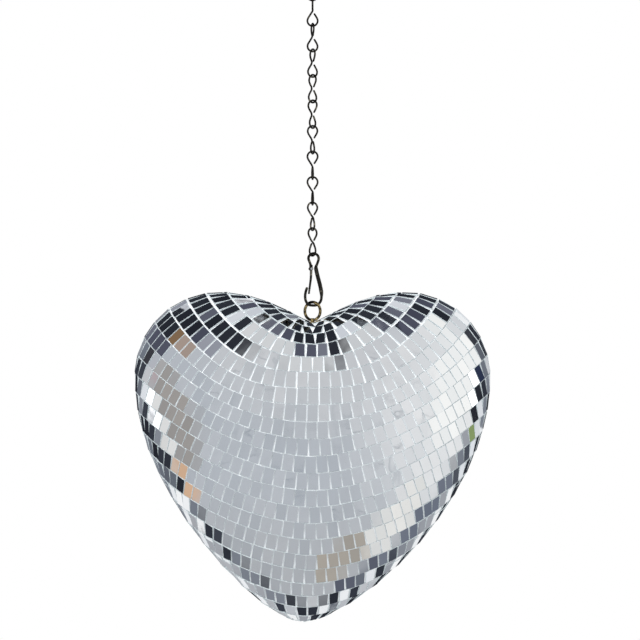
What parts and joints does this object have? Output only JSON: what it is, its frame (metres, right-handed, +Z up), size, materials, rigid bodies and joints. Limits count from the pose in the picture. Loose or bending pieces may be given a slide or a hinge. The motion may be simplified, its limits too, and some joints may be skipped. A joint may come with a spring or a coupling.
{
  "type": "heart-shaped mirror ball on a chain",
  "caption": "Heart-shaped mirror ball covered in small flat mirror tiles, hung from a ceiling plate by a jack chain, a sprung snap hook and a screw eye, to swing and turn and scatter light.",
  "frame": {"origin": "middle of the ceiling plate's flat top face", "axes": "+Z up, out of the ceiling plate's top face; +X to the right across the heart; the heart's front faces -Y"},
  "size_m": [0.3048, 0.162, 0.584],
  "materials": {
    "dark_steel_wire": "dark nickel-plated steel wire, worn bright where it bears",
    "zinc_plated_steel": "satin zinc plating",
    "brass_plated_steel": "thin brass plating, darkened",
    "white_moulded_shell": "matt white moulded plastic",
    "mirror_tile": "silvered flat glass, cut in small rectangles"
  },
  "bodies": {
    "ceiling_mount": {"ceiling_plate": "zinc_plated_steel", "ceiling_hook": "zinc_plated_steel"},
    "link_01": {"chain_link_01": "dark_steel_wire"},
    "link_02": {"chain_link_02": "dark_steel_wire"},
    "link_03": {"chain_link_03": "dark_steel_wire"},
    "link_04": {"chain_link_04": "dark_steel_wire"},
    "link_05": {"chain_link_05": "dark_steel_wire"},
    "link_06": {"chain_link_06": "dark_steel_wire"},
    "link_07": {"chain_link_07": "dark_steel_wire"},
    "link_08": {"chain_link_08": "dark_steel_wire"},
    "link_09": {"chain_link_09": "dark_steel_wire"},
    "link_10": {"chain_link_10": "dark_steel_wire"},
    "link_11": {"chain_link_11": "dark_steel_wire"},
    "snap_hook": {"snap_hook_body": "dark_steel_wire", "snap_hook_gate_pin": "zinc_plated_steel"},
    "gate": {"snap_hook_gate": "dark_steel_wire"},
    "heart": {"screw_eye": "brass_plated_steel", "core_front_shell": "white_moulded_shell", "core_rear_shell": "white_moulded_shell", "joining_band": "white_moulded_shell", "eye_washer": "zinc_plated_steel", "eye_lock_nut": "zinc_plated_steel", "mirror_row_01": "mirror_tile", "mirror_row_02": "mirror_tile", "mirror_row_03": "mirror_tile", "mirror_row_04": "mirror_tile", "mirror_row_05": "mirror_tile", "mirror_row_06": "mirror_tile", "mirror_row_07": "mirror_tile", "mirror_row_08": "mirror_tile", "mirror_row_09": "mirror_tile", "mirror_row_10": "mirror_tile", "mirror_row_11": "mirror_tile", "mirror_row_12": "mirror_tile", "mirror_row_13": "mirror_tile", "mirror_row_14": "mirror_tile", "mirror_row_15": "mirror_tile", "mirror_row_16": "mirror_tile", "mirror_row_17": "mirror_tile", "mirror_row_18": "mirror_tile", "mirror_row_19": "mirror_tile", "mirror_row_20": "mirror_tile", "mirror_row_21": "mirror_tile", "mirror_row_22": "mirror_tile", "mirror_row_23": "mirror_tile", "mirror_row_24": "mirror_tile"}
  },
  "joints": [
    {"name": "link_01_swing", "type": "hinge", "parent": "ceiling_mount", "child": "link_01", "pos_m": [0, 0, -0.028], "axis": [1, 0, 0], "range_deg": [-15, 15]},
    {"name": "link_02_sway", "type": "hinge", "parent": "link_01", "child": "link_02", "pos_m": [0, 0, -0.04995], "axis": [0, 1, 0], "range_deg": [-15, 15]},
    {"name": "link_03_twist", "type": "hinge", "parent": "link_02", "child": "link_03", "pos_m": [0, 0, -0.0719], "axis": [0, 0, 1], "range_deg": [-20, 20]},
    {"name": "link_04_swing", "type": "hinge", "parent": "link_03", "child": "link_04", "pos_m": [0, 0, -0.09385], "axis": [1, 0, 0], "range_deg": [-15, 15]},
    {"name": "link_05_sway", "type": "hinge", "parent": "link_04", "child": "link_05", "pos_m": [0, 0, -0.1158], "axis": [0, 1, 0], "range_deg": [-15, 15]},
    {"name": "link_06_twist", "type": "hinge", "parent": "link_05", "child": "link_06", "pos_m": [0, 0, -0.13775], "axis": [0, 0, 1], "range_deg": [-20, 20]},
    {"name": "link_07_swing", "type": "hinge", "parent": "link_06", "child": "link_07", "pos_m": [0, 0, -0.1597], "axis": [1, 0, 0], "range_deg": [-15, 15]},
    {"name": "link_08_sway", "type": "hinge", "parent": "link_07", "child": "link_08", "pos_m": [0, 0, -0.18165], "axis": [0, 1, 0], "range_deg": [-15, 15]},
    {"name": "link_09_twist", "type": "hinge", "parent": "link_08", "child": "link_09", "pos_m": [0, 0, -0.2036], "axis": [0, 0, 1], "range_deg": [-20, 20]},
    {"name": "link_10_swing", "type": "hinge", "parent": "link_09", "child": "link_10", "pos_m": [0, 0, -0.22555], "axis": [1, 0, 0], "range_deg": [-15, 15]},
    {"name": "link_11_sway", "type": "hinge", "parent": "link_10", "child": "link_11", "pos_m": [0, 0, -0.2475], "axis": [0, 1, 0], "range_deg": [-15, 15]},
    {"name": "snap_hook_swing", "type": "hinge", "parent": "link_11", "child": "snap_hook", "pos_m": [0, 0, -0.26945], "axis": [1, 0, 0], "range_deg": [-15, 15]},
    {"name": "gate_hinge", "type": "hinge", "parent": "snap_hook", "child": "gate", "pos_m": [-0.00147, -0.00031, -0.2814], "axis": [0.2079, -0.9781, 0], "range_deg": [0, 18], "stiffness_Nm_per_rad": 0.02, "springref_deg": -2.86},
    {"name": "heart_turn", "type": "hinge", "parent": "snap_hook", "child": "heart", "pos_m": [0, 0, -0.3116], "axis": [0, 0, 1], "range_deg": [-60, 4]}
  ]
}
